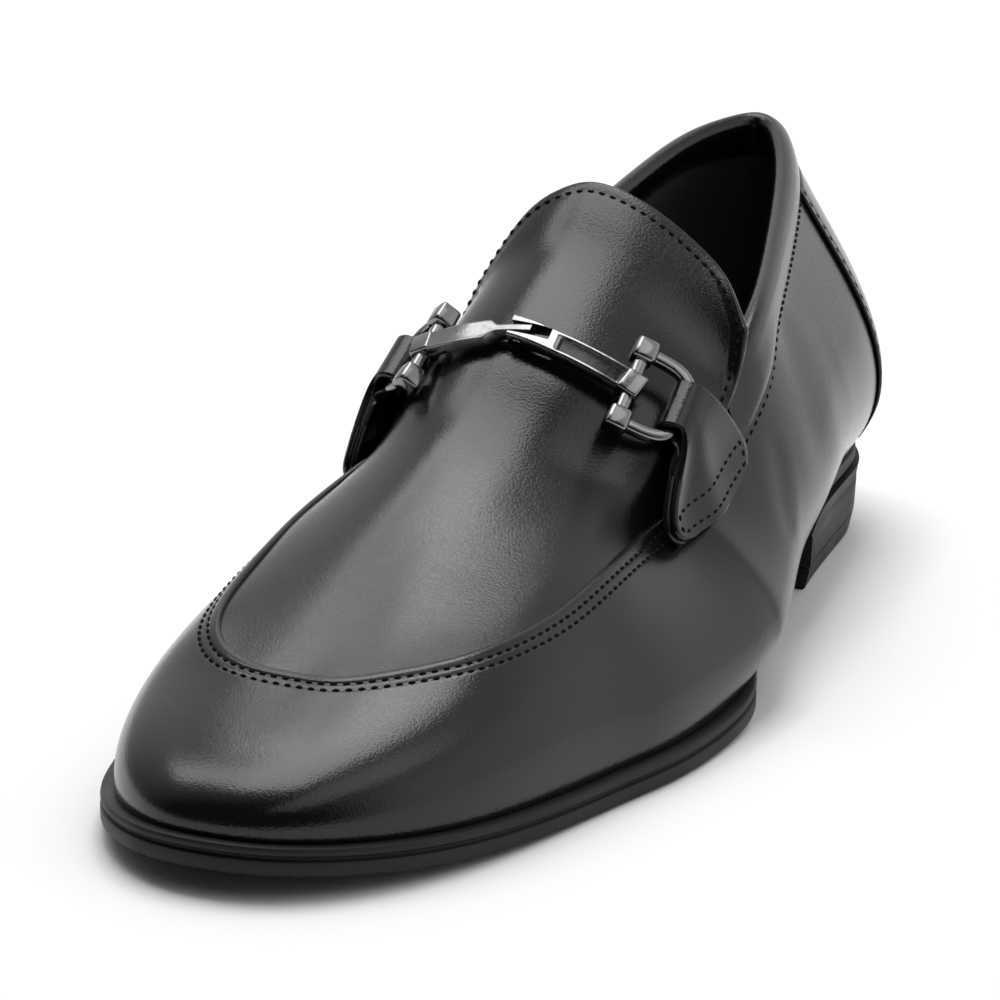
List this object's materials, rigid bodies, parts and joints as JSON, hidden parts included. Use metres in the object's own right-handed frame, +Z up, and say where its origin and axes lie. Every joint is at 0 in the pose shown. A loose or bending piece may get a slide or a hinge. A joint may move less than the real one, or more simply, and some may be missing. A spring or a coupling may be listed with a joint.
{
  "type": "slip-on loafer shoe",
  "caption": "Left black leather slip-on loafer with an apron front, tongue flap, padded collar, stacked heel and a metal snaffle bit across the instep.",
  "frame": {"origin": "on the floor under the middle of the shoe's box", "axes": "+Z up from the floor, +Y from toe to heel, +X to the shoe's lateral side"},
  "size_m": [0.109, 0.303, 0.0997],
  "materials": {
    "leather": "semi-gloss black calf leather with a fine grain",
    "sole_rubber": "matte black moulded rubber",
    "lining": "matte black lining and sock",
    "bit_metal": "polished dark gunmetal plating"
  },
  "bodies": {
    "root": {"outsole": "sole_rubber", "heel": "sole_rubber", "top_lift": "sole_rubber", "insole": "lining", "upper": "leather", "apron_tongue": "leather", "collar": "leather", "back_strap": "leather", "tab_lateral": "leather", "tab_medial": "leather", "ring_lateral": "bit_metal", "ring_medial": "bit_metal", "bar_lateral": "bit_metal", "bar_medial": "bit_metal", "bit_pin": "bit_metal"}
  },
  "joints": []
}
